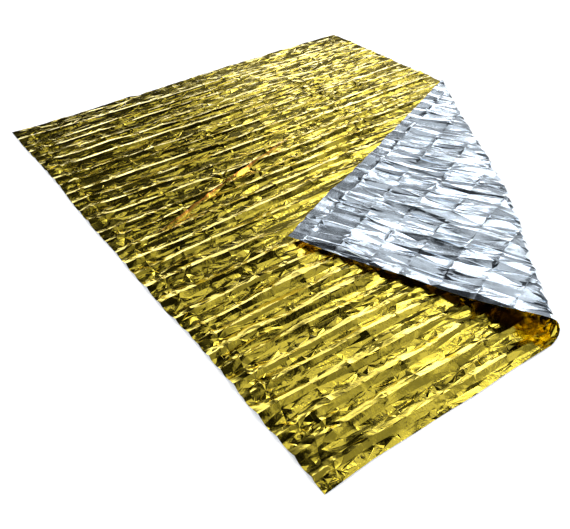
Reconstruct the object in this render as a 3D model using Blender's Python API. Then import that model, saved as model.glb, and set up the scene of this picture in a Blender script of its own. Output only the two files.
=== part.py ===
"""Emergency foil blanket: one sheet of metallised film, laid gold side up on a flat surface, with one
corner turned over so that its silver side shows. Metres, +Z up, resting on the plane Z = 0.

The sheet is drawn as a flat net of creases over (across, down): across runs from the left long edge to the
right one, and down runs from the top short edge to the bottom one, both as the pleated sheet lies. Each
point of the net is raised by its pleat, placed in plan, and carried round the roll at the turned corner.
"""

import math

import bpy
import numpy as np
from mathutils import Vector
from mathutils.geometry import delaunay_2d_cdt

# The sheet
CUT_WIDTH = 1.600
CUT_LENGTH = 2.100
PLEAT_TAKE_UP = 0.088
LAID_LENGTH = CUT_LENGTH * (1 - PLEAT_TAKE_UP)
THICKNESS = 0.0014

# Where the four corners lie in plan before one is turned over, from the top left corner
TOP_RIGHT = (1.575, -0.020)
BOTTOM_RIGHT = (1.599, -1.953)
BOTTOM_LEFT = (0.000, -LAID_LENGTH)
EDGE_SWAY = 0.006
RIGHT_EDGE_BOW = 0.020

# The pleats run from the left edge to the right one. A row gives the distance of one crest from the top edge
# at three stations across the sheet, and its height.
STATIONS = (0.05, 0.75, 1.55)
PLEATS = (
    # left, middle, right, height
    (0.080, 0.101, 0.123, 0.0080),
    (0.152, 0.160, 0.158, 0.0070),
    (0.199, 0.200, 0.208, 0.0075),
    (0.246, 0.278, 0.270, 0.0070),
    (0.293, 0.322, 0.333, 0.0090),
    (0.360, 0.377, 0.383, 0.0100),
    (0.428, 0.451, 0.446, 0.0100),
    (0.474, 0.497, 0.498, 0.0090),
    (0.541, 0.564, 0.556, 0.0100),
    (0.598, 0.622, 0.613, 0.0090),
    (0.656, 0.690, 0.688, 0.0080),
    (0.728, 0.745, 0.750, 0.0100),
    (0.803, 0.806, 0.808, 0.0100),
    (0.851, 0.845, 0.858, 0.0090),
    (0.922, 0.898, 0.913, 0.0100),
    (0.990, 0.967, 0.973, 0.0110),
    (1.045, 1.025, 1.033, 0.0090),
    (1.120, 1.117, 1.100, 0.0120),
    (1.198, 1.188, 1.170, 0.0120),
    (1.276, 1.262, 1.250, 0.0110),
    (1.341, 1.325, 1.310, 0.0120),
    (1.389, 1.376, 1.370, 0.0090),
    (1.444, 1.444, 1.435, 0.0120),
    (1.500, 1.504, 1.500, 0.0110),
    (1.559, 1.563, 1.560, 0.0110),
    (1.604, 1.622, 1.630, 0.0100),
    (1.671, 1.690, 1.695, 0.0120),
    (1.740, 1.742, 1.755, 0.0115),
    (1.805, 1.816, 1.823, 0.0110),
    (1.873, 1.880, 1.880, 0.0100),
)
AWAY_RUN_PER_HEIGHT = 1.7
NEAR_RUN_PER_HEIGHT = 1.3
HEIGHT_UNEVENNESS = 0.22
CREST_WANDER = 0.0025
LIES_FLAT_BELOW = 0.00002

# A slanting pinch that crosses several pleats
PINCH_START = (0.15, 0.905)
PINCH_END = (0.80, 0.675)
PINCH_HEIGHT = 0.0070
PINCH_HALF_WIDTH = 0.009

# The turned corner: it rolls up from this line, then lies back over the sheet
ROLL_LINE_TOP = (1.615, -0.674)
ROLL_LINE_BOTTOM = (0.770, -1.870)
ROLL_RADIUS_TOP = 0.0105
ROLL_RADIUS_BOTTOM = 0.0235
ROLL_BULGE = 0.037
ROLL_BULGE_SKEW = 1.35
ROLL_BULGE_DEPTH = 0.24
FLAP_SWING = 0.054
FLAP_HEIGHT = 0.0215
FLAP_SETTLES_OVER = 0.26
FLAP_PLEAT_SHARE = 0.40
COVERED_PLEAT_SHARE = 0.60
COVER_FADE = 0.10
ROLL_FADE = 0.07

# How finely the net is drawn
COLUMNS = 11
ROLL_STEPS = 6
ROLL_LINE_POINTS = 14
ROLL_LINE_SPARE = 0.15
FLAP_LINES = (0.07, 0.15, 0.26)
NET_WELD = 0.0015


def clear_scene():
    for obj in list(bpy.data.objects):
        bpy.data.objects.remove(obj)


def ease(x):
    """0 to 1 with level ends."""
    x = np.clip(x, 0.0, 1.0)
    return x * x * (3 - 2 * x)


def sway(x, seed):
    """A slow, uneven wave from about -1 to 1, different for each seed."""
    return (
        0.55 * np.sin(5.3 * x + 2.1 * seed)
        + 0.30 * np.sin(12.7 * x + 4.7 * seed + 1.0)
        + 0.15 * np.sin(29.0 * x + 7.9 * seed + 2.0)
    )


def crest(row, across):
    """How far down the sheet this pleat's crest lies, at each distance across."""
    straight = np.interp(across, STATIONS, PLEATS[row][:3])
    return straight + CREST_WANDER * sway(across, row)


def crest_height(row, across):
    return PLEATS[row][3] * (1 + HEIGHT_UNEVENNESS * sway(across, row + 40))


def away_run(row, across):
    """Width of the slope above the crest, as seen from the top edge."""
    return AWAY_RUN_PER_HEIGHT * PLEATS[row][3] * (1 + 0.2 * sway(across, row + 80))


def near_run(row, across):
    """Width of the slope below the crest."""
    return NEAR_RUN_PER_HEIGHT * PLEATS[row][3] * (1 + 0.2 * sway(across, row + 120))


def pleat_height(across, down):
    """Height of the pleats, which are straight slopes between flat strips."""
    height = np.zeros_like(across)
    for row in range(len(PLEATS)):
        top = crest(row, across)
        run = np.where(down < top, away_run(row, across), near_run(row, across))
        height = np.maximum(height, crest_height(row, across) * (1 - np.abs(down - top) / run))
    return height


def pinch_height(across, down):
    start, end = np.array(PINCH_START), np.array(PINCH_END)
    way = end - start
    point = np.stack([across, down], -1) - start
    share = np.clip(point @ way / (way @ way), 0, 1)
    gap = np.linalg.norm(point - share[..., None] * way, axis=-1)
    taper = np.sin(math.pi * (0.08 + 0.84 * share))
    return PINCH_HEIGHT * taper * np.clip(1 - gap / PINCH_HALF_WIDTH, 0, 1)


def laid_plan(across, down):
    """Plan position of a point of the net before the corner is turned over."""
    s, t = across / CUT_WIDTH, down / LAID_LENGTH
    x = s * (1 - t) * TOP_RIGHT[0] + s * t * BOTTOM_RIGHT[0] + (1 - s) * t * BOTTOM_LEFT[0]
    y = s * (1 - t) * TOP_RIGHT[1] + s * t * BOTTOM_RIGHT[1] + (1 - s) * t * BOTTOM_LEFT[1]
    x = x + EDGE_SWAY * ((1 - s) * sway(down, 3) + s * sway(down, 5))
    x = x + RIGHT_EDGE_BOW * s * np.sin(math.pi * np.clip(t, 0, 1))
    y = y + EDGE_SWAY * ((1 - t) * sway(across, 7) + t * sway(across, 9))
    return x, y


def net_point(x, y):
    """The point of the net that lies at this place in plan: laid_plan turned round."""
    across, down = x, -y
    for _ in range(8):
        at_x, at_y = laid_plan(across, down)
        across, down = across + (x - at_x), down - (y - at_y)
    return across, down


ROLL_START = np.array(ROLL_LINE_TOP)
ROLL_LENGTH = math.dist(ROLL_LINE_TOP, ROLL_LINE_BOTTOM)
ROLL_WAY = (np.array(ROLL_LINE_BOTTOM) - ROLL_START) / ROLL_LENGTH
ROLL_OUT = np.array((-ROLL_WAY[1], ROLL_WAY[0]))



def roll_radius(along):
    share = np.clip(along / ROLL_LENGTH, -0.05, 1.05)
    return ROLL_RADIUS_TOP + (ROLL_RADIUS_BOTTOM - ROLL_RADIUS_TOP) * share


def roll_section(past, radius):
    """Cut across the turned corner: how far out and how high a point lies that is this far past the roll line,
    the sheet's upward normal there as (out, up), and how far the point lies beyond the roll."""
    turn = np.clip(past / radius, 0, math.pi)
    beyond = np.maximum(past - math.pi * radius, 0)
    settled = ease(beyond / FLAP_SETTLES_OVER)
    out = np.where(past < 0, past, radius * np.sin(turn) - beyond)
    up = radius * (1 - np.cos(turn)) + (FLAP_HEIGHT - 2 * radius) * settled
    return out, up, -np.sin(turn), np.cos(turn), beyond


def pleat_share(x, y, past):
    """How much of a pleat's height is left near the roll, on the flap and under it."""
    share = 1 - (1 - FLAP_PLEAT_SHARE) * ease(1 + past / ROLL_FADE)
    mirrored_x, mirrored_y = x - 2 * past * ROLL_OUT[0], y - 2 * past * ROLL_OUT[1]
    across, down = net_point(mirrored_x, mirrored_y)
    inside = np.minimum(CUT_WIDTH - across, LAID_LENGTH - down)
    covered = (1 - COVERED_PLEAT_SHARE) * ease(inside / COVER_FADE) * (past < 0)
    return np.minimum(share, 1 - covered)


def folded(across, down):
    """Where each point of the net lies in space, on the silver face."""
    x, y = laid_plan(across, down)
    offset = np.stack([x, y], -1) - ROLL_START
    along, past = offset @ ROLL_WAY, offset @ ROLL_OUT
    out, up, normal_out, normal_up, beyond = roll_section(past, roll_radius(along))
    raised = np.maximum(pleat_height(across, down), pinch_height(across, down))
    raised = raised * pleat_share(x, y, past)
    raised = np.where(raised < LIES_FLAT_BELOW, 0, raised)
    bulge_share = np.clip(along / ROLL_LENGTH, 0, 1) ** ROLL_BULGE_SKEW
    bulge = ROLL_BULGE * np.sin(math.pi * bulge_share) ** 2
    out = out + bulge * np.exp(-((out / ROLL_BULGE_DEPTH) ** 2)) + raised * normal_out
    # The roll widens down its length, which swings the flap round.
    along = along + FLAP_SWING * beyond
    place = ROLL_START + along[..., None] * ROLL_WAY + out[..., None] * ROLL_OUT
    return np.column_stack([place, up + raised * normal_up])


class CreaseNet:
    """Lines drawn on the flat net, later cut into triangles that keep every line as an edge."""

    def __init__(self):
        self.points = []
        self.edges = []

    def line(self, across, down):
        first = len(self.points)
        self.points += [Vector((a, d)) for a, d in zip(across, down)]
        self.edges += [(first + i, first + i + 1) for i in range(len(across) - 1)]

    def triangles(self):
        made = delaunay_2d_cdt(self.points, self.edges, [], 0, NET_WELD)
        return np.array([tuple(p) for p in made[0]], float), [tuple(f) for f in made[2]]


def columns(row):
    """Stations across the sheet for one pleat's corners, shifted a little from pleat to pleat."""
    even = np.linspace(0, CUT_WIDTH, COLUMNS + 1)
    shift = 0.25 * CUT_WIDTH / COLUMNS * math.sin(2.4 * row)
    return np.concatenate([even[:1], even[1:-1] + shift, even[-1:]])


def draw_pleats(net):
    for row in range(len(PLEATS)):
        across = columns(row)
        top = crest(row, across)
        net.line(across, top - away_run(row, across))
        net.line(across, top)
        net.line(across, top + near_run(row, across))


def draw_edges(net):
    even = np.linspace(0, CUT_WIDTH, COLUMNS + 1)
    sides = np.linspace(0, LAID_LENGTH, len(PLEATS) + 1)
    for down in (0.0, LAID_LENGTH):
        net.line(even, np.full_like(even, down))
    for across in (0.0, CUT_WIDTH):
        net.line(np.full_like(sides, across), sides)


def draw_pinch(net):
    start, end = np.array(PINCH_START), np.array(PINCH_END)
    side = np.array((end[1] - start[1], start[0] - end[0]))
    side = side * PINCH_HALF_WIDTH / np.linalg.norm(side)
    share = np.linspace(0, 1, 6)[:, None]
    for shift in (-side, 0 * side, side):
        line = start + share * (end - start) + shift
        net.line(line[:, 0], line[:, 1])


def draw_roll(net):
    """Lines beside the roll line: where the pleats begin to flatten, round the roll, and on the flap."""
    along = np.linspace(-ROLL_LINE_SPARE, ROLL_LENGTH + ROLL_LINE_SPARE, ROLL_LINE_POINTS)
    half_turn = math.pi * roll_radius(along)
    pasts = [np.full_like(along, -ROLL_FADE), np.full_like(along, -0.5 * ROLL_FADE)]
    pasts += [half_turn * step / ROLL_STEPS for step in range(ROLL_STEPS + 1)]
    pasts += [half_turn + more for more in FLAP_LINES]
    for past in pasts:
        place = ROLL_START + along[:, None] * ROLL_WAY + past[:, None] * ROLL_OUT
        across, down = net_point(place[:, 0], place[:, 1])
        draw_clipped(net, across, down)


def draw_clipped(net, across, down):
    """Draws the part of a line that lies on the sheet, with its ends on the sheet's edges."""
    index = np.arange(len(across))
    fine = np.linspace(0, len(across) - 1, 100 * len(across))
    a, d = np.interp(fine, index, across), np.interp(fine, index, down)
    kept = fine[(a >= 0) & (a <= CUT_WIDTH) & (d >= 0) & (d <= LAID_LENGTH)]
    if len(kept) < 2:
        return
    step = fine[1]
    inner = index[(index > kept[0] + 0.2) & (index < kept[-1] - 0.2)]
    stops = np.concatenate([[kept[0] - step], inner, [kept[-1] + step]])
    a = np.clip(np.interp(stops, index, across), 0, CUT_WIDTH)
    d = np.clip(np.interp(stops, index, down), 0, LAID_LENGTH)
    net.line(a, d)


def film_material(name, colour, roughness):
    material = bpy.data.materials.new(name)
    material.use_nodes = True
    shader = material.node_tree.nodes["Principled BSDF"]
    shader.inputs["Base Color"].default_value = (*colour, 1)
    shader.inputs["Metallic"].default_value = 1.0
    shader.inputs["Roughness"].default_value = roughness
    return material


def centred(points):
    """Moves the sheet so that the middle of its plan box is over the origin."""
    middle = (points.min(0) + points.max(0)) / 2
    return points - (middle[0], middle[1], 0)


def make_blanket():
    net = CreaseNet()
    draw_edges(net)
    draw_pleats(net)
    draw_pinch(net)
    draw_roll(net)
    flat, faces = net.triangles()
    points = centred(folded(flat[:, 0], flat[:, 1]))
    # The net runs down the sheet where the plan runs up, so its triangles are turned to face up.
    mesh = bpy.data.meshes.new("foil_blanket")
    mesh.from_pydata(points.tolist(), [], [face[::-1] for face in faces])
    mesh.materials.append(film_material("gold_film", (0.75, 0.56, 0.10), 0.22))
    mesh.materials.append(film_material("silver_film", (0.80, 0.83, 0.88), 0.22))
    blanket = bpy.data.objects.new("foil_blanket", mesh)
    bpy.context.scene.collection.objects.link(blanket)
    film = blanket.modifiers.new("film thickness", "SOLIDIFY")
    film.thickness = THICKNESS
    film.offset = 1.0
    return blanket


clear_scene()
make_blanket()
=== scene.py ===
import math

import bpy
import numpy as np
from mathutils import Matrix, Vector
from mathutils.bvhtree import BVHTree
from mathutils.geometry import delaunay_2d_cdt


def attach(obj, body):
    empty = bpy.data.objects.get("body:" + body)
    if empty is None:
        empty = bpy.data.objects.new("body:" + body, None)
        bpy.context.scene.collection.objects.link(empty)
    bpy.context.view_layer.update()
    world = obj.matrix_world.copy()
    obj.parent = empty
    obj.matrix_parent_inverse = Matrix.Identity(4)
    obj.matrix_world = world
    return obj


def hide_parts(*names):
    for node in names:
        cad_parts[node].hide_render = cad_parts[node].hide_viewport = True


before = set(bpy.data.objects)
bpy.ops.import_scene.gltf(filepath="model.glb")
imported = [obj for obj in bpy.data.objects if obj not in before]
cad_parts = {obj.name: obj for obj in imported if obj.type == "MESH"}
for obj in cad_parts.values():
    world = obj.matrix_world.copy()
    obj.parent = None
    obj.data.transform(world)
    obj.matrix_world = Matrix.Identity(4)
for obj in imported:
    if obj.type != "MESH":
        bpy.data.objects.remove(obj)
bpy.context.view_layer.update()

# The sheet, as in the part's source: across runs from the left long edge to the right one, and down from
# the top short edge to the bottom one, both as the pleated sheet lies. Metres throughout.
CUT_WIDTH = 1.600
CUT_LENGTH = 2.100
PLEAT_TAKE_UP = 0.088
LAID_LENGTH = CUT_LENGTH * (1 - PLEAT_TAKE_UP)
FILM_THICKNESS = 0.0003
# Its corners in plan, measured from the top left one
TOP_RIGHT = (1.575, -0.020)
BOTTOM_RIGHT = (1.599, -1.953)
BOTTOM_LEFT = (0.000, -LAID_LENGTH)
EDGE_SWAY = 0.006
# Which slow wave the left, right, top and bottom edges follow
EDGE_SEEDS = (3, 5, 7, 9)
RIGHT_EDGE_BOW = 0.020
# Dents of the top edge: distance across, half width, how far it stands out
TOP_EDGE_DENTS = (
    (0.500, 0.018, 0.006),
    (0.540, 0.018, -0.009),
    (0.250, 0.030, -0.004),
    (0.880, 0.025, -0.005),
    (1.180, 0.020, -0.007),
    (1.420, 0.016, 0.004),
)
TOP_DENT_REACH = 0.03
# Origin of the part's frame in this plan
PLAN_MIDDLE = (0.8007, -0.9644)
PLAN_SOLVING_STEPS = 8

# How far down the sheet each pleat's crest lies at three distances across, and its height
STATIONS = (0.05, 0.75, 1.55)
PLEATS = (
    # left, middle, right, height
    (0.080, 0.101, 0.123, 0.0080),
    (0.152, 0.160, 0.158, 0.0070),
    (0.199, 0.200, 0.208, 0.0075),
    (0.246, 0.278, 0.270, 0.0070),
    (0.293, 0.322, 0.333, 0.0090),
    (0.360, 0.377, 0.383, 0.0100),
    (0.428, 0.451, 0.446, 0.0100),
    (0.474, 0.497, 0.498, 0.0090),
    (0.541, 0.564, 0.556, 0.0100),
    (0.598, 0.622, 0.613, 0.0090),
    (0.656, 0.690, 0.688, 0.0080),
    (0.728, 0.745, 0.750, 0.0100),
    (0.803, 0.806, 0.808, 0.0100),
    (0.851, 0.845, 0.858, 0.0090),
    (0.922, 0.898, 0.913, 0.0100),
    (0.990, 0.967, 0.973, 0.0110),
    (1.045, 1.025, 1.033, 0.0090),
    (1.120, 1.117, 1.100, 0.0120),
    (1.198, 1.188, 1.170, 0.0120),
    (1.276, 1.262, 1.250, 0.0110),
    (1.341, 1.325, 1.310, 0.0120),
    (1.389, 1.376, 1.370, 0.0090),
    (1.444, 1.444, 1.435, 0.0120),
    (1.500, 1.504, 1.500, 0.0110),
    (1.559, 1.563, 1.560, 0.0110),
    (1.604, 1.622, 1.630, 0.0100),
    (1.671, 1.690, 1.695, 0.0120),
    (1.740, 1.742, 1.755, 0.0115),
    (1.805, 1.816, 1.823, 0.0110),
    (1.873, 1.880, 1.880, 0.0100),
)
# A pleat has an away side, up the sheet from its crest, and a near side, down from it. The two values of
# a pair hold at the top and the bottom of the sheet.
HEIGHT_SHARE = (0.96, 1.14)
AWAY_RUN_PER_HEIGHT = (2.2, 2.45)
NEAR_RUN_PER_HEIGHT = (1.6, 2.1)
# Each side is a facet beside the crest and another down to the floor. The bend says how much of the run is in
# the first, and the rest left how much of the height remains at its end.
AWAY_BEND = 0.5
AWAY_LEFT = (0.78, 0.52)
NEAR_BEND = 0.6
NEAR_LEFT = 0.26
# How much each of these changes from one packing crease to the next, and the seed for the first pleat
HEIGHT_UNEVENNESS = 0.32
HEIGHT_SEED = 40
AWAY_RUN_UNEVENNESS = 0.22
AWAY_RUN_SEED = 80
NEAR_RUN_UNEVENNESS = 0.38
NEAR_RUN_SEED = 120
CREST_WANDER = 0.0025
CREST_KINKS = 0.0014
# Towards the top right corner the pleats are lower: across and down, where that begins and over what distance
FAR_RIGHT_CALM = 0.6
FAR_RIGHT_BEGINS = (0.6, 0.80)
FAR_RIGHT_OVER = (0.6, 0.5)

# Short pleats between the long ones
SHORT_PLEATS = (
    # start, end, down at start, down at end, height, away run, near run
    (0.060, 0.215, 1.083, 1.072, 0.0100, 0.020, 0.016),
    (-0.020, 0.230, 1.478, 1.462, 0.0120, 0.030, 0.024),
    (0.260, 0.600, 1.655, 1.640, 0.0080, 0.030, 0.016),
    (0.420, 0.560, 1.852, 1.842, 0.0090, 0.026, 0.018),
    (0.330, 0.660, 1.230, 1.215, 0.0070, 0.018, 0.014),
    (0.100, 0.420, 0.705, 0.690, 0.0065, 0.016, 0.012),
    (0.700, 1.000, 1.712, 1.728, 0.0090, 0.026, 0.015),
    (0.900, 1.250, 1.850, 1.838, 0.0085, 0.024, 0.015),
    (0.020, 0.180, 1.775, 1.768, 0.0090, 0.022, 0.018),
    (0.550, 0.900, 0.330, 0.345, 0.0060, 0.015, 0.012),
)
SHORT_PLEAT_TAPER = 0.7
SHORT_PLEAT_END_WIDTH = 0.35

# The pinch, a sharp diagonal ridge that crosses the pleats: its ends as (across, down)
PINCH_START = (0.15, 0.905)
PINCH_END = (0.80, 0.675)
PINCH_HEIGHT = 0.0095
PINCH_HALF_WIDTH = 0.0075
PINCH_OVER_PLEATS = 0.6
PINCH_TAPER_BEGINS = 0.08

# The turned corner: the sheet rolls up along this line of the plan, turns half round and lies on itself
ROLL_LINE_TOP = (1.615, -0.674)
ROLL_LINE_BOTTOM = (0.770, -1.870)
ROLL_RADIUS_TOP = 0.0105
ROLL_RADIUS_BOTTOM = 0.0235
ROLL_OVERRUN = 0.05
ROLL_BULGE = 0.037
ROLL_BULGE_SKEW = 1.35
ROLL_BULGE_DEPTH = 0.24
ROLL_FADE = 0.07
FLAP_SWING = 0.054
FLAP_HEIGHT = 0.0185
FLAP_SETTLES_OVER = 0.26
FLAP_PLEAT_SHARE = 0.12
FLAP_DROOP = 0.003
FLAP_DROOPS_OVER = 0.20
FLAP_FACETS_BEGIN = 0.02
FLAP_FACETS_FADE = 0.06
COVERED_PLEAT_SHARE = 0.50
COVER_FADE = 0.06
COVER_REACH = 0.06

# Packing creases run down the sheet, square to the pleats
PACKING_FIRST = 0.055
PACKING_PITCH = 0.1065
PACKING_LAST_MARGIN = 0.02
PACKING_HEIGHT = 0.0014
FLAP_PACKING_HEIGHT = 0.0030
PACKING_HALF_WIDTH = 0.0075
PACKING_WANDER = 0.003
PACKING_WANDER_SEED = 200
PACKING_HEIGHT_SEED = 230

# Facets that the handled film keeps between its pleats: (spacing across, spacing down, relief)
COARSE_FACETS = (0.052, 0.017, 0.0026)
FINE_FACETS = (0.0140, 0.0115, 0.0011)
# How far their corners stray, across and down, in spacings, and how many of them are low
FACET_STRAY = (0.45, 0.48)
FACET_LOW_SKEW = 1.3

# Long facets between the packing creases, bold on the flap: (spacing down, looseness across, relief)
LADDER_FACETS = (0.027, 0.004, 0.0085)
LADDER_STRAY = 0.42
LADDER_SHARE_ON_SHEET = 0.38

# Long shallow creases left by handling, nearly along the pleats
STREAK_COUNT = 110
STREAK_LENGTH = (0.12, 0.55)
STREAK_STARTS = (-0.10, CUT_WIDTH - 0.08)
STREAK_MARGIN = 0.01
STREAK_SLANT = 0.045
STREAK_HEIGHT = (0.0012, 0.0034)
STREAK_HALF_WIDTH = (0.005, 0.010)
STREAK_END_WIDTH = 0.4

# Star-like crumples, one at each pleat along the first packing crease and some anywhere
LOOSE_STARS = 30
STAR_MARGIN = 0.06
STAR_BELOW_CREST = 0.012
STAR_REACH = (0.030, 0.060)
STAR_HEIGHT = (0.0025, 0.0048)
STAR_POINTS = (3, 6)
STAR_EDGE_STEEPNESS = 3

# Share of its height that one relief loses where another lies
SLOPE_BEGINS = 0.004
SLOPE_RELIEF_SHARE = 0.13
NEAR_SIDE_CRUMPLE = 0.25
FACETS_LOST_ON_FLAP = 0.8
FACETS_LOST_IN_STARS = 0.85
STREAKS_LOST_ON_FLAP = 0.5
LADDER_LOST_ON_SLOPES = 0.7
RELIEF_LOST_UNDER_FLAP = 0.5
FINE_CRINKLES_LOST_ON_FLAP = 0.7
FINE_CRINKLES_LOST_FAR_RIGHT = 0.4

# The net that the film is cut into
CREST_STEP = 0.030
CREST_STEP_UNEVENNESS = 0.3
SHORT_PLEAT_POINTS = 9
SHORT_EDGE_POINTS = 129
LONG_EDGE_POINTS = 161
PACKING_POINTS = 120
PINCH_POINTS = 30
STREAK_STEP = 0.035
STAR_CREASE_POINTS = (0.0, 0.35, 0.7, 1.0)
NET_WELD = 0.0004
# How far inside the sheet's edges the points of facets, small points and creases stay
FACET_MARGIN = 0.002
POINT_MARGIN = 0.003
CREASE_MARGIN = 0.004
# Faces that meet at more than this many degrees show a crease
CREASE_ANGLE = 10
SEED = 11


def ease(x):
    """0 to 1 with level ends."""
    x = np.clip(x, 0.0, 1.0)
    return x * x * (3 - 2 * x)


def sway(x, seed):
    """A slow, uneven wave from about -1 to 1, different for each seed."""
    return (
        0.55 * np.sin(5.3 * x + 2.1 * seed)
        + 0.30 * np.sin(12.7 * x + 4.7 * seed + 1.0)
        + 0.15 * np.sin(29.0 * x + 7.9 * seed + 2.0)
    )


def packing_lines():
    return np.arange(PACKING_FIRST, CUT_WIDTH - PACKING_LAST_MARGIN, PACKING_PITCH)


def kinks(across, seed):
    """An uneven line between -1 and 1 that turns only where the packing creases cross it."""
    places = np.concatenate([[0.0], packing_lines(), [CUT_WIDTH]])
    levels = np.random.default_rng(seed).uniform(-1, 1, len(places))
    return np.interp(across, places, levels)


def down_the_sheet(top_and_bottom, down):
    """A value that goes evenly from the first at the top of the sheet to the second at its bottom."""
    top, bottom = top_and_bottom
    return top + (bottom - top) * np.clip(down / LAID_LENGTH, 0, 1)


def towards_far_right(across, down):
    """0 over most of the sheet, and 1 at its top right corner."""
    begins_across, begins_down = FAR_RIGHT_BEGINS
    over_across, over_down = FAR_RIGHT_OVER
    return ease((across - begins_across) / over_across) * ease((begins_down - down) / over_down)


def clear_of_edges(across, down, margin):
    """Which points lie on the sheet, at least this far from its edges."""
    return (across > margin) & (across < CUT_WIDTH - margin) & (down > margin) & (down < LAID_LENGTH - margin)


def crest(row, across):
    """How far down the sheet this pleat's crest lies, at each distance across."""
    straight = np.interp(across, STATIONS, PLEATS[row][:3])
    return straight + CREST_WANDER * sway(across, row) + CREST_KINKS * kinks(across, row)


def crest_height(row, across):
    uneven = HEIGHT_UNEVENNESS * kinks(across, row + HEIGHT_SEED)
    share = down_the_sheet(HEIGHT_SHARE, PLEATS[row][1]) + uneven
    return PLEATS[row][3] * share * (1 - FAR_RIGHT_CALM * towards_far_right(across, PLEATS[row][1]))


def away_run(row, across):
    per_height = down_the_sheet(AWAY_RUN_PER_HEIGHT, PLEATS[row][1])
    uneven = 1 + AWAY_RUN_UNEVENNESS * kinks(across, row + AWAY_RUN_SEED)
    return per_height * crest_height(row, across) * uneven


def near_run(row, across):
    per_height = down_the_sheet(NEAR_RUN_PER_HEIGHT, PLEATS[row][1])
    uneven = 1 + NEAR_RUN_UNEVENNESS * kinks(across, row + NEAR_RUN_SEED)
    return per_height * crest_height(row, across) * uneven


def side_shape(share, bend, left):
    """Height of a pleat's side, bent once, from 1 at the crest to 0 at its foot."""
    first = 1 - (1 - left) * share / bend
    second = left * (1 - share) / (1 - bend)
    return np.clip(np.where(share < bend, first, second), 0, 1)


def short_pleat_height(across, down):
    """Height of the short pleats, which swell and taper, and 1 where it is an away side."""
    height = np.zeros_like(across)
    away = np.zeros_like(across)
    for start, end, down_start, down_end, tall, long_side, short_side in SHORT_PLEATS:
        share = (across - start) / (end - start)
        taper = np.clip(4 * share * (1 - share), 0, 1) ** SHORT_PLEAT_TAPER
        gap = down - (down_start + (down_end - down_start) * share)
        width = SHORT_PLEAT_END_WIDTH + (1 - SHORT_PLEAT_END_WIDTH) * taper
        run = np.where(gap < 0, long_side, short_side) * width
        rise = tall * taper * np.clip(1 - np.abs(gap) / run, 0, 1)
        away = np.where(rise > height, gap < 0, away)
        height = np.maximum(height, rise)
    return height, away


def pleat_height(across, down):
    """Height of all pleats above the surface that the sheet lies on, and 1 where it is an away side."""
    height, away = short_pleat_height(across, down)
    away_left = down_the_sheet(AWAY_LEFT, down)
    for row in range(len(PLEATS)):
        top = crest(row, across)
        gap = np.abs(down - top)
        behind = side_shape(gap / away_run(row, across), AWAY_BEND, away_left)
        before = side_shape(gap / near_run(row, across), NEAR_BEND, NEAR_LEFT)
        rise = crest_height(row, across) * np.where(down < top, behind, before)
        away = np.where(rise > height, down < top, away)
        height = np.maximum(height, rise)
    return height, away


def pinch_height(across, down):
    start, end = np.array(PINCH_START), np.array(PINCH_END)
    way = end - start
    point = np.stack([across, down], -1) - start
    share = np.clip(point @ way / (way @ way), 0, 1)
    gap = np.linalg.norm(point - share[..., None] * way, axis=-1)
    taper = np.sin(math.pi * (PINCH_TAPER_BEGINS + (1 - 2 * PINCH_TAPER_BEGINS) * share))
    return PINCH_HEIGHT * taper * np.clip(1 - gap / PINCH_HALF_WIDTH, 0, 1)


def laid_plan(across, down):
    """Plan position of a point of the net before the corner is turned over."""
    left, right, top, bottom = EDGE_SEEDS
    s, t = across / CUT_WIDTH, down / LAID_LENGTH
    x = s * (1 - t) * TOP_RIGHT[0] + s * t * BOTTOM_RIGHT[0] + (1 - s) * t * BOTTOM_LEFT[0]
    y = s * (1 - t) * TOP_RIGHT[1] + s * t * BOTTOM_RIGHT[1] + (1 - s) * t * BOTTOM_LEFT[1]
    x = x + EDGE_SWAY * ((1 - s) * sway(down, left) + s * sway(down, right))
    x = x + RIGHT_EDGE_BOW * s * np.sin(math.pi * np.clip(t, 0, 1))
    y = y + EDGE_SWAY * ((1 - t) * sway(across, top) + t * sway(across, bottom))
    for place, half_width, out in TOP_EDGE_DENTS:
        fade = ((across - place) / half_width) ** 2 + np.maximum(down, 0) / TOP_DENT_REACH
        y = y + out * np.exp(-fade)
    return x, y


def net_point(x, y):
    """The point of the net that lies at this place in plan: laid_plan turned round."""
    across, down = x, -y
    for _ in range(PLAN_SOLVING_STEPS):
        at_x, at_y = laid_plan(across, down)
        across, down = across + (x - at_x), down - (y - at_y)
    return across, down


ROLL_START = np.array(ROLL_LINE_TOP)
ROLL_LENGTH = math.dist(ROLL_LINE_TOP, ROLL_LINE_BOTTOM)
ROLL_WAY = (np.array(ROLL_LINE_BOTTOM) - ROLL_START) / ROLL_LENGTH
ROLL_OUT = np.array((-ROLL_WAY[1], ROLL_WAY[0]))


def roll_radius(along):
    share = np.clip(along / ROLL_LENGTH, -ROLL_OVERRUN, 1 + ROLL_OVERRUN)
    return ROLL_RADIUS_TOP + (ROLL_RADIUS_BOTTOM - ROLL_RADIUS_TOP) * share


def roll_section(past, radius):
    """Cut across the turned corner: how far out and how high a point lies that is this far past the roll
    line, the sheet's upward normal there as (out, up), and how far the point lies beyond the roll."""
    turn = np.clip(past / radius, 0, math.pi)
    beyond = np.maximum(past - math.pi * radius, 0)
    settled = ease(beyond / FLAP_SETTLES_OVER)
    out = np.where(past < 0, past, radius * np.sin(turn) - beyond)
    up = radius * (1 - np.cos(turn)) + (FLAP_HEIGHT - 2 * radius) * settled
    return out, up, -np.sin(turn), np.cos(turn), beyond


def past_roll(across, down):
    """How far a point of the net lies past the line where the corner rolls up."""
    x, y = laid_plan(across, down)
    return (np.stack([x, y], -1) - ROLL_START) @ ROLL_OUT


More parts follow.
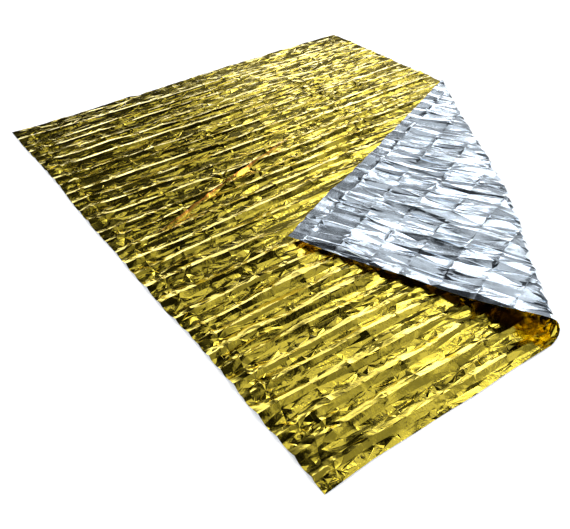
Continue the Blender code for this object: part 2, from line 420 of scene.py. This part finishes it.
def covered(x, y, past):
    """1 under the middle of the flap, 0 where nothing lies over the sheet."""
    mirrored_x, mirrored_y = x - 2 * past * ROLL_OUT[0], y - 2 * past * ROLL_OUT[1]
    across, down = net_point(mirrored_x, mirrored_y)
    inside = np.minimum(CUT_WIDTH - across, LAID_LENGTH - down) + COVER_REACH
    return ease(inside / COVER_FADE) * (past < 0)


def pleat_share(x, y, past):
    """How much of a pleat's height is left near the roll, on the flap and under it."""
    share = 1 - (1 - FLAP_PLEAT_SHARE) * ease(1 + past / ROLL_FADE)
    return np.minimum(share, 1 - (1 - COVERED_PLEAT_SHARE) * covered(x, y, past))


def folded(across, down, relief):
    """Where each point of the net lies in space, on the silver face. The relief of the crinkles always stands
    up, also on the flap, where the pleats hang down."""
    x, y = laid_plan(across, down)
    offset = np.stack([x, y], -1) - ROLL_START
    along, past = offset @ ROLL_WAY, offset @ ROLL_OUT
    radius = roll_radius(along)
    out, up, normal_out, normal_up, beyond = roll_section(past, radius)
    droop = FLAP_DROOP * ease(1 - (LAID_LENGTH - down) / FLAP_DROOPS_OVER)
    up = up - droop * ease(beyond / FLAP_SETTLES_OVER)
    pinch = pinch_height(across, down)
    raised = np.maximum(pleat_height(across, down)[0], pinch) + PINCH_OVER_PLEATS * pinch
    raised = raised * pleat_share(x, y, past)
    upright = 1 - 2 * ease(past / (math.pi * radius))
    raised = raised + relief * upright * (1 - RELIEF_LOST_UNDER_FLAP * covered(x, y, past))
    bulge_share = np.clip(along / ROLL_LENGTH, 0, 1) ** ROLL_BULGE_SKEW
    bulge = ROLL_BULGE * np.sin(math.pi * bulge_share) ** 2
    out = out + bulge * np.exp(-((out / ROLL_BULGE_DEPTH) ** 2)) + raised * normal_out
    along = along + FLAP_SWING * beyond
    place = ROLL_START + along[..., None] * ROLL_WAY + out[..., None] * ROLL_OUT - PLAN_MIDDLE
    return np.column_stack([place, up + raised * normal_up])


class CreaseNet:
    """Lines and points drawn on the flat net, later cut into triangles that keep every line as an edge."""

    def __init__(self):
        self.points = []
        self.edges = []

    def line(self, across, down):
        first = len(self.points)
        self.points += [Vector((a, d)) for a, d in zip(across, down)]
        self.edges += [(first + i, first + i + 1) for i in range(len(across) - 1)]

    def spots(self, across, down):
        self.points += [Vector((a, d)) for a, d in zip(across, down)]

    def segments(self, points, pairs):
        first = len(self.points)
        self.points += [Vector(p) for p in points]
        self.edges += [(first + a, first + b) for a, b in pairs]

    def triangles(self):
        made = delaunay_2d_cdt(self.points, self.edges, [], 0, NET_WELD)
        return np.array([tuple(p) for p in made[0]], float), [tuple(f) for f in made[2]]


def loose_grid(rng, step_across, step_down, margin=0.0):
    """Points on an uneven brick grid all over the sheet."""
    stray_across, stray_down = FACET_STRAY
    columns = round((CUT_WIDTH + 2 * margin) / step_across)
    rows = round((LAID_LENGTH + 2 * margin) / step_down)
    column, row = np.meshgrid(np.arange(columns), np.arange(rows))
    shift = rng.uniform(-0.5, 0.5, (rows, 1))
    across = (column + 0.5 + shift + rng.uniform(-stray_across, stray_across, row.shape)) / columns
    down = (row + 0.5 + rng.uniform(-stray_down, stray_down, row.shape)) / rows
    across = across * (CUT_WIDTH + 2 * margin) - margin
    down = down * (LAID_LENGTH + 2 * margin) - margin
    return across.ravel(), down.ravel()


def ladder_grid(rng, step_down, looseness):
    """Points along the packing creases, each crease with its own uneven spacing, past all edges."""
    lines = np.arange(-1, len(packing_lines()) + 2)
    count = round((LAID_LENGTH + 4 * step_down) / step_down)
    line, place = np.meshgrid(lines, np.arange(count))
    across = PACKING_FIRST + line * PACKING_PITCH + rng.uniform(-looseness, looseness, line.shape)
    stray = rng.uniform(-LADDER_STRAY, LADDER_STRAY, line.shape)
    down = (place - 1.5 + stray + 0.5 * (line % 2)) * step_down
    return across.ravel(), down.ravel()


class Facets:
    """A sheet of flat, uneven facets that meet in creases. They are long across by the stretch."""

    def __init__(self, rng, points, stretch, relief):
        across, down = points
        points = [Vector((a, d * stretch)) for a, d in zip(across, down)]
        made = delaunay_2d_cdt(points, [], [], 0, 1e-6)
        flat = np.array([tuple(p) for p in made[0]], float)
        self.flat = flat / (1, stretch)
        self.height = relief * rng.random(len(flat)) ** FACET_LOW_SKEW
        self.faces = [tuple(f) for f in made[2]]
        self.pairs = {tuple(sorted((f[i], f[i - 1]))) for f in self.faces for i in range(3)}
        tops = np.column_stack([self.flat, self.height])
        self.tree = BVHTree.FromPolygons([Vector(t) for t in tops.tolist()], self.faces)

    def height_at(self, across, down):
        way = Vector((0, 0, -1))
        hits = [self.tree.ray_cast(Vector((a, d, 1)), way) for a, d in zip(across, down)]
        return np.array([0.0 if hit[0] is None else hit[0].z for hit in hits])

    def creases(self, on_flap):
        """The creases that lie wholly on the sheet, and on the flap or off it."""
        across, down = self.flat.T
        on = clear_of_edges(across, down, FACET_MARGIN)
        on = on & ((past_roll(across, down) > FLAP_FACETS_BEGIN) == on_flap)
        names = {int(old): new for new, old in enumerate(np.flatnonzero(on))}
        return self.flat[on], [(names[a], names[b]) for a, b in sorted(self.pairs) if on[a] and on[b]]


class Streaks:
    """Long shallow ridges that taper to nothing at both ends."""

    def __init__(self, rng):
        count = STREAK_COUNT
        self.length = rng.uniform(*STREAK_LENGTH, count)
        self.start = rng.uniform(*STREAK_STARTS, count)
        self.down = rng.uniform(STREAK_MARGIN, LAID_LENGTH - STREAK_MARGIN, count)
        self.slant = rng.uniform(-STREAK_SLANT, STREAK_SLANT, count)
        self.tall = rng.uniform(*STREAK_HEIGHT, count)
        self.half_width = rng.uniform(*STREAK_HALF_WIDTH, count)

    def height_at(self, across, down):
        height = np.zeros_like(across)
        for i in range(STREAK_COUNT):
            share = (across - self.start[i]) / self.length[i]
            middle = self.down[i] + self.slant[i] * (across - self.start[i])
            taper = np.sin(math.pi * np.clip(share, 0, 1))
            half_width = self.half_width[i] * (STREAK_END_WIDTH + (1 - STREAK_END_WIDTH) * taper)
            slope = np.clip(1 - np.abs(down - middle) / half_width, 0, 1)
            height = np.maximum(height, self.tall[i] * taper * slope)
        return height

    def draw(self, net):
        for i in range(STREAK_COUNT):
            share = np.linspace(0, 1, max(4, round(self.length[i] / STREAK_STEP)))
            across = self.start[i] + share * self.length[i]
            down = self.down[i] + self.slant[i] * (across - self.start[i])
            on = clear_of_edges(across, down, CREASE_MARGIN)
            if on.sum() > 1:
                net.line(across[on], down[on])


class Stars:
    """Crumples whose creases run out from a point, high and low by turns."""

    def __init__(self, rng):
        count = len(PLEATS) + LOOSE_STARS
        edge_down = np.array([float(crest(row, PACKING_FIRST)) for row in range(len(PLEATS))])
        loose_across = rng.uniform(STAR_MARGIN, CUT_WIDTH - STAR_MARGIN, LOOSE_STARS)
        loose_down = rng.uniform(STAR_MARGIN, LAID_LENGTH - STAR_MARGIN, LOOSE_STARS)
        self.across = np.concatenate([packing_place(0, edge_down), loose_across])
        self.down = np.concatenate([edge_down + STAR_BELOW_CREST, loose_down])
        self.reach = rng.uniform(*STAR_REACH, count)
        self.tall = rng.uniform(*STAR_HEIGHT, count)
        self.points = rng.integers(*STAR_POINTS, count)
        self.turn = rng.uniform(0, 2 * math.pi, count)

    def height_at(self, across, down):
        """Height of the crumples, and how far inside one a point lies."""
        height = np.zeros_like(across)
        inside = np.zeros_like(across)
        for i in range(len(self.across)):
            x, y = across - self.across[i], down - self.down[i]
            out = np.hypot(x, y) / self.reach[i]
            phase = (np.arctan2(y, x) - self.turn[i]) / (2 * math.pi) * self.points[i] % 1
            rise = self.tall[i] * np.abs(2 * phase - 1) * 4 * out * (1 - out)
            height = np.where(out < 1, np.maximum(height, rise), height)
            inside = np.maximum(inside, ease(STAR_EDGE_STEEPNESS * (1 - out)))
        return height, inside

    def draw(self, net):
        for i in range(len(self.across)):
            angles = self.turn[i] + np.arange(2 * self.points[i]) * math.pi / self.points[i]
            for angle in angles:
                out = self.reach[i] * np.array(STAR_CREASE_POINTS)
                across = self.across[i] + out * math.cos(angle)
                down = self.down[i] + out * math.sin(angle)
                on = clear_of_edges(across, down, POINT_MARGIN)
                net.line(across[on], down[on])


def packing_place(number, down):
    return packing_lines()[number] + PACKING_WANDER * sway(1.7 * down, number + PACKING_WANDER_SEED)


def packing_height(across, down, on_flap):
    """Height of the packing creases, which come and go down the sheet and are taller on the flap."""
    height = np.zeros_like(across)
    tallest = PACKING_HEIGHT + (FLAP_PACKING_HEIGHT - PACKING_HEIGHT) * on_flap
    for number in range(len(packing_lines())):
        gap = np.abs(across - packing_place(number, down)) / PACKING_HALF_WIDTH
        tall = tallest * np.clip(0.5 + 0.8 * sway(9 * down, number + PACKING_HEIGHT_SEED), 0, 1)
        height = np.maximum(height, tall * np.clip(1 - gap, 0, 1))
    return height


def draw_edges(net):
    for down in (0.0, LAID_LENGTH):
        across = np.linspace(0, CUT_WIDTH, SHORT_EDGE_POINTS)
        net.line(across, np.full_like(across, down))
    for across in (0.0, CUT_WIDTH):
        down = np.linspace(0, LAID_LENGTH, LONG_EDGE_POINTS)
        net.line(np.full_like(down, across), down)


def draw_pleats(net):
    """The crest of each pleat and the bend of each of its sides."""
    place = np.arange(1, round(CUT_WIDTH / CREST_STEP))
    for row in range(len(PLEATS)):
        inner = (place + CREST_STEP_UNEVENNESS * np.sin(2.4 * row + 1.7 * place)) * CREST_STEP
        across = np.concatenate([[0.0], inner, [CUT_WIDTH]])
        top = crest(row, across)
        net.line(across, top - AWAY_BEND * away_run(row, across))
        net.line(across, top)
        net.line(across, top + NEAR_BEND * near_run(row, across))


def draw_short_pleats(net):
    for start, end, down_start, down_end, *_ in SHORT_PLEATS:
        share = np.linspace(0, 1, SHORT_PLEAT_POINTS)
        across = start + (end - start) * share
        down = down_start + (down_end - down_start) * share
        on = clear_of_edges(across, down, POINT_MARGIN)
        net.line(across[on], down[on])


def draw_packing_creases(net):
    down = np.linspace(CREASE_MARGIN, LAID_LENGTH - CREASE_MARGIN, PACKING_POINTS)
    for number in range(len(packing_lines())):
        net.line(packing_place(number, down), down)


def draw_pinch(net):
    start, end = np.array(PINCH_START), np.array(PINCH_END)
    side = np.array((end[1] - start[1], start[0] - end[0]))
    side = side * PINCH_HALF_WIDTH / np.linalg.norm(side)
    share = np.linspace(0, 1, PINCH_POINTS)[:, None]
    for shift in (-side, 0 * side, side):
        line = start + share * (end - start) + shift
        net.line(line[:, 0], line[:, 1])


def sharpen_cut_edges(mesh):
    """Keeps the shading of the faces apart from that of the film's thin cut edge."""
    edges = np.empty(len(mesh.loops), dtype=np.int32)
    mesh.loops.foreach_get("edge_index", edges)
    sharp = np.zeros(len(mesh.edges), dtype=bool)
    mesh.edges.foreach_get("use_edge_sharp", sharp)
    sharp |= np.bincount(edges, minlength=len(mesh.edges)) == 1
    mesh.edges.foreach_set("use_edge_sharp", sharp)


def sheet_mesh():
    """The whole film in its folds, one layer of triangles that bend only along creases."""
    rng = np.random.default_rng(SEED)
    wide, deep, relief = COARSE_FACETS
    coarse = Facets(rng, loose_grid(rng, wide, deep, margin=2 * wide), wide / deep, relief)
    deep, looseness, relief = LADDER_FACETS
    ladder = Facets(rng, ladder_grid(rng, deep, looseness), PACKING_PITCH / deep, relief)
    streaks = Streaks(rng)
    stars = Stars(rng)
    net = CreaseNet()
    draw_edges(net)
    draw_pleats(net)
    draw_short_pleats(net)
    draw_packing_creases(net)
    draw_pinch(net)
    streaks.draw(net)
    stars.draw(net)
    net.segments(*ladder.creases(on_flap=True))
    net.segments(*coarse.creases(on_flap=False))
    wide, deep, relief = FINE_FACETS
    across, down = loose_grid(rng, wide, deep)
    on = clear_of_edges(across, down, POINT_MARGIN)
    net.spots(across[on], down[on])
    flat, faces = net.triangles()

    across, down = flat[:, 0], flat[:, 1]
    pleats, away = pleat_height(across, down)
    on_slope = ease(pleats / SLOPE_BEGINS) * (1 - NEAR_SIDE_CRUMPLE * (1 - away))
    on_flap = ease(past_roll(across, down) / FLAP_FACETS_FADE)
    star_height, in_star = stars.height_at(across, down)
    small = coarse.height_at(across, down) + relief * rng.random(len(flat))
    small = small * (1 - FACETS_LOST_ON_FLAP * on_flap) * (1 - FACETS_LOST_IN_STARS * in_star)
    small = small + streaks.height_at(across, down) * (1 - STREAKS_LOST_ON_FLAP * on_flap)
    small = small * (1 - (1 - SLOPE_RELIEF_SHARE) * on_slope * (1 - on_flap))
    long_share = LADDER_SHARE_ON_SHEET * (1 - LADDER_LOST_ON_SLOPES * on_slope)
    long = ladder.height_at(across, down) * (long_share + (1 - long_share) * on_flap)
    crinkles = small + long + packing_height(across, down, on_flap) + star_height

    mesh = bpy.data.meshes.new("foil_sheet")
    mesh.from_pydata(folded(across, down, crinkles).tolist(), [], [face[::-1] for face in faces])
    mesh.shade_smooth()
    mesh.set_sharp_from_angle(angle=math.radians(CREASE_ANGLE))
    sharpen_cut_edges(mesh)
    corners = np.empty(len(mesh.loops), dtype=np.int32)
    mesh.loops.foreach_get("vertex_index", corners)
    laid_flat = mesh.uv_layers.new(name="laid_flat")
    laid_flat.data.foreach_set("uv", flat[corners].astype(np.float32).ravel())
    fine_on_flap = 1 - FINE_CRINKLES_LOST_ON_FLAP * on_flap
    fine_far_right = 1 - FINE_CRINKLES_LOST_FAR_RIGHT * towards_far_right(across, down)
    marks = {
        # Where the pinch's orange-brown painted shade goes
        "painted_pinch_shade": np.clip(2 * pinch_height(across, down) / PINCH_HEIGHT, 0, 1),
        "loose": (1 - on_slope) * fine_on_flap * fine_far_right,
    }
    for name, values in marks.items():
        mesh.attributes.new(name, "FLOAT", "POINT").data.foreach_set("value", values.astype(np.float32))
    return mesh


def srgb(hex_colour):
    """Linear colour from an sRGB hex value."""
    parts = [int(hex_colour[i:i + 2], 16) / 255 for i in (1, 3, 5)]
    return tuple(c / 12.92 if c <= 0.04045 else ((c + 0.055) / 1.055) ** 2.4 for c in parts) + (1.0,)


def add_node(tree, kind, inputs=None, **settings):
    """Adds a node with its settings. An input takes a value, or a link where it is another node's socket."""
    node = tree.nodes.new(kind)
    for name, value in settings.items():
        setattr(node, name, value)
    for name, value in (inputs or {}).items():
        if isinstance(value, bpy.types.NodeSocket):
            tree.links.new(value, node.inputs[name])
        else:
            node.inputs[name].default_value = value
    return node


# Gold lacquer over the aluminium: deep yellow mirror; the orange-brown below is painted shade along the
# pinch, where the film is creased hard together
GOLD_LACQUER = "#E8D23C"
# Painted shade: orange-brown along the pinch's crease, in place of the light the gold film bounces onto
# itself there
PINCH_PAINTED_SHADE = "#DC8A22"
GOLD_ROUGHNESS = 0.11
# Bare aluminium coat: a cold, slightly blue silver, softer in its reflections than the lacquered side
BARE_ALUMINIUM = "#D2E0EE"
ALUMINIUM_ROUGHNESS = 0.20
# The clear polyester over the metal puts a thin white glint on top of the coloured reflection
CLEAR_FILM_WEIGHT = 0.7
CLEAR_FILM_IOR = 1.5
CLEAR_FILM_ROUGHNESS = 0.08
# Crinkles too fine for the net: their sizes, how far their creases bend and over what distance, how much the
# small ones add to the large, their depth, and how much of it shows on tight and on loose film
LARGE_CRINKLE = 0.015
SMALL_CRINKLE = 0.0068
CRINKLE_BEND = 0.006
CRINKLE_BEND_LENGTH = 0.03
SMALL_CRINKLE_SHARE = 0.45
CRINKLE_DEPTH = 0.0045
CRINKLE_STRENGTH = (0.03, 0.11)


def metallised_film(name, colour, roughness, painted_shade_colour=None):
    """Vapour-coated polyester film: a near mirror that the crinkles break into sharp glints."""
    material = bpy.data.materials.new(name)
    material.use_nodes = True
    tree = material.node_tree
    shader = tree.nodes["Principled BSDF"]
    shader.inputs["Base Color"].default_value = srgb(colour)
    shader.inputs["Metallic"].default_value = 1.0
    shader.inputs["Roughness"].default_value = roughness
    shader.inputs["Coat Weight"].default_value = CLEAR_FILM_WEIGHT
    shader.inputs["Coat IOR"].default_value = CLEAR_FILM_IOR
    shader.inputs["Coat Roughness"].default_value = CLEAR_FILM_ROUGHNESS
    # Paints orange-brown shade into the base colour along the pinch's crease
    if painted_shade_colour:
        painted_pinch_shade = add_node(tree, "ShaderNodeAttribute", attribute_name="painted_pinch_shade")
        lacquer_and_painted_shade = add_node(
            tree, "ShaderNodeMix",
            {"Factor": painted_pinch_shade.outputs["Fac"], "A": srgb(colour), "B": srgb(painted_shade_colour)},
            data_type="RGBA",
        )
        tree.links.new(lacquer_and_painted_shade.outputs["Result"], shader.inputs["Base Color"])
    flat = add_node(tree, "ShaderNodeUVMap", uv_map="laid_flat")
    bends = add_node(
        tree, "ShaderNodeTexNoise",
        {"Vector": flat.outputs["UV"], "Scale": 1 / CRINKLE_BEND_LENGTH, "Detail": 1.0},
        noise_dimensions="2D",
    )
    bent = add_node(
        tree, "ShaderNodeVectorMath",
        {0: bends.outputs["Color"], 1: (CRINKLE_BEND, CRINKLE_BEND, 0.0), 2: flat.outputs["UV"]},
        operation="MULTIPLY_ADD",
    )
    large, small = (
        add_node(
            tree, "ShaderNodeTexVoronoi", {"Vector": bent.outputs["Vector"], "Scale": 1 / size},
            feature="DISTANCE_TO_EDGE", voronoi_dimensions="2D",
        )
        for size in (LARGE_CRINKLE, SMALL_CRINKLE)
    )
    height = add_node(
        tree, "ShaderNodeMath",
        {0: small.outputs["Distance"], 1: SMALL_CRINKLE_SHARE, 2: large.outputs["Distance"]},
        operation="MULTIPLY_ADD",
    )
    loose = add_node(tree, "ShaderNodeAttribute", attribute_name="loose")
    tight_strength, loose_strength = CRINKLE_STRENGTH
    strength = add_node(
        tree, "ShaderNodeMapRange",
        {"Value": loose.outputs["Fac"], "To Min": tight_strength, "To Max": loose_strength},
    )
    bump = add_node(
        tree, "ShaderNodeBump",
        {
            "Height": height.outputs["Value"], "Strength": strength.outputs["Result"],
            "Distance": CRINKLE_DEPTH,
        },
    )
    tree.links.new(bump.outputs["Normal"], shader.inputs["Normal"])
    return material


def build_blanket():
    mesh = sheet_mesh()
    gold = metallised_film("gold_lacquered_polyester_film", GOLD_LACQUER, GOLD_ROUGHNESS, PINCH_PAINTED_SHADE)
    silver = metallised_film("aluminium_coated_polyester_film", BARE_ALUMINIUM, ALUMINIUM_ROUGHNESS)
    mesh.materials.append(gold)
    mesh.materials.append(silver)
    blanket = bpy.data.objects.new("foil_sheet", mesh)
    bpy.context.scene.collection.objects.link(blanket)
    film = blanket.modifiers.new("film thickness", "SOLIDIFY")
    film.thickness = FILM_THICKNESS
    film.offset = 1.0
    film.material_offset = 1
    film.material_offset_rim = 1
    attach(blanket, "root")
    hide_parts("foil_blanket")


FLOOR_SIZE = 24


def pale_floor():
    bpy.ops.mesh.primitive_plane_add(size=FLOOR_SIZE)
    floor = bpy.context.object
    floor.name = "pale_floor"
    # Matt white paper, which shows only the sheet's faint shadow
    material = bpy.data.materials.new("matt_white_paper")
    material.use_nodes = True
    shader = material.node_tree.nodes["Principled BSDF"]
    shader.inputs["Base Color"].default_value = srgb("#F0F0F0")
    shader.inputs["Roughness"].default_value = 1.0
    shader.inputs["Specular IOR Level"].default_value = 0.0
    floor.data.materials.append(material)


# Light from each part of the studio, by the height of its direction (0 at the horizon, 1 overhead)
STUDIO_LEVELS = (
    (0.00, 1.00),
    (0.20, 1.20),
    (0.40, 0.33),
    (0.75, 0.31),
    (0.95, 0.22),
)
# An even glow low down all round, added to it
STUDIO_GLOW = (
    (0.00, 0.90),
    (0.09, 1.00),
    (0.16, 1.80),
    (0.27, 0.00),
)
# How much lighter or darker it is towards some sides: direction, cosine where it begins and is full, gain
STUDIO_SIDES = (
    # dark overhead
    ((0.000, 0.000, 1.000), 0.83, 0.92, 0.14),
    # brighter at the right, half-way up
    ((0.472, 0.396, 0.788), 0.935, 0.98, 6.5),
    # dim low at the left
    ((0.121, 0.858, 0.500), 0.87, 0.955, 0.23),
    # even beside the camera, at its left
    ((-0.897, 0.126, 0.423), 0.70, 0.90, 0.20),
)
# Even light added towards some sides: direction, cosine where it begins and is full, level
STUDIO_PANELS = (
    # at the right, half-way up
    ((0.488, 0.375, 0.788), 0.945, 0.985, 0.60),
    # lower at the right
    ((0.720, 0.420, 0.552), 0.930, 0.985, 0.24),
    # beside the camera, high at its right
    ((0.548, -0.629, 0.552), 0.900, 0.970, 0.25),
    # beside the camera, at its left
    ((-0.897, 0.126, 0.423), 0.800, 0.940, 0.85),
    # high at the far left
    ((-0.612, 0.354, 0.707), 0.860, 0.950, 1.00),
)
# Light and dark patches, as in any room: which pattern, its scale, what part of the noise is used, how dark
# the darkest is, and how many times lighter the lightest
STUDIO_PATCHWORK = 51.8
PATCH_SCALE = 4.4
PATCH_RANGE = (0.38, 0.62)
PATCH_DARKEST = 0.065
PATCH_CONTRAST = 30.0
FLOOR_LIGHT = 1.55


def level_towards(tree, way, direction, begins, full, elsewhere, there):
    """A level that goes from the one elsewhere to the one there as a ray turns towards a direction."""
    facing = add_node(
        tree, "ShaderNodeVectorMath", {0: way, 1: Vector(direction).normalized()}, operation="DOT_PRODUCT",
    )
    level = add_node(
        tree, "ShaderNodeMapRange",
        {
            "Value": facing.outputs["Value"], "From Min": begins, "From Max": full,
            "To Min": elsewhere, "To Max": there,
        },
        interpolation_type="SMOOTHSTEP",
    )
    return level.outputs["Result"]


def studio_light():
    """Soft, uneven light all round, which the film mirrors; the floor is lit evenly."""
    world = bpy.data.worlds.new("soft_studio")
    bpy.context.scene.world = world
    world.use_nodes = True
    tree = world.node_tree
    way = add_node(tree, "ShaderNodeTexCoord").outputs["Generated"]
    height = add_node(tree, "ShaderNodeSeparateXYZ", {"Vector": way}).outputs["Z"]
    by_height = []
    for levels in (STUDIO_LEVELS, STUDIO_GLOW):
        ramp = add_node(tree, "ShaderNodeValToRGB", {"Fac": height})
        stops = ramp.color_ramp.elements
        while len(stops) < len(levels):
            stops.new(0.5)
        for stop, (place, level) in zip(stops, levels):
            stop.position = place
            stop.color = (level, level, level, 1)
        by_height.append(ramp.outputs["Color"])
    plain, glow = by_height

    noise = add_node(
        tree, "ShaderNodeTexNoise",
        {"Vector": way, "Scale": PATCH_SCALE, "Detail": 1.0, "Roughness": 0.5, "W": STUDIO_PATCHWORK},
        noise_dimensions="4D",
    )
    lowest, highest = PATCH_RANGE
    lightness = add_node(
        tree, "ShaderNodeMapRange", {"Value": noise.outputs["Fac"], "From Min": lowest, "From Max": highest},
    )
    steep = add_node(
        tree, "ShaderNodeMath", {0: PATCH_CONTRAST, 1: lightness.outputs["Result"]}, operation="POWER",
    )
    patches = add_node(
        tree, "ShaderNodeMath", {0: steep.outputs["Value"], 1: PATCH_DARKEST}, operation="MULTIPLY",
    )

    light = plain
    gains = [patches.outputs["Value"]]
    for direction, begins, full, gain in STUDIO_SIDES:
        gains.append(level_towards(tree, way, direction, begins, full, 1.0, gain))
    for gain in gains:
        light = add_node(
            tree, "ShaderNodeVectorMath", {"Vector": light, "Scale": gain}, operation="SCALE",
        ).outputs["Vector"]
    added = [glow]
    for direction, begins, full, level in STUDIO_PANELS:
        added.append(level_towards(tree, way, direction, begins, full, 0.0, level))
    for more in added:
        light = add_node(tree, "ShaderNodeVectorMath", {0: light, 1: more}).outputs["Vector"]
    path = add_node(tree, "ShaderNodeLightPath")
    lit = add_node(
        tree, "ShaderNodeMix",
        {
            "Factor": path.outputs["Is Diffuse Ray"], "A": light,
            "B": (FLOOR_LIGHT, FLOOR_LIGHT, FLOOR_LIGHT, 1),
        },
        data_type="RGBA",
    )
    tree.links.new(lit.outputs["Result"], tree.nodes["Background"].inputs["Color"])


# The photograph's view, solved from the sheet's corners: degrees, metres, and millimetres for the lens
CAMERA_TARGET = (0.3749, -1.2621, 0.0)
CAMERA_AZIMUTH = -35.291
CAMERA_ELEVATION = 40.337
CAMERA_ROLL = -1.377
CAMERA_DISTANCE = 2.0091
CAMERA_LENS = 43.264
CAMERA_SENSOR = 36


def photo_camera():
    azimuth, elevation, roll = (math.radians(a) for a in (CAMERA_AZIMUTH, CAMERA_ELEVATION, CAMERA_ROLL))
    turn = Matrix.Rotation(azimuth, 3, "Z") @ Matrix.Rotation(math.pi / 2 - elevation, 3, "X")
    turn = turn @ Matrix.Rotation(roll, 3, "Z")
    target = Vector(CAMERA_TARGET) - Vector((*PLAN_MIDDLE, 0))
    place = target + turn @ Vector((0, 0, CAMERA_DISTANCE))
    data = bpy.data.cameras.new("photo_camera")
    data.lens = CAMERA_LENS
    data.sensor_width = CAMERA_SENSOR
    camera = bpy.data.objects.new("photo_camera", data)
    camera.matrix_world = Matrix.Translation(place) @ turn.to_4x4()
    bpy.context.scene.collection.objects.link(camera)
    bpy.context.scene.camera = camera


photo_camera()
pale_floor()
studio_light()
build_blanket()
bpy.context.scene.view_settings.view_transform = "Standard"
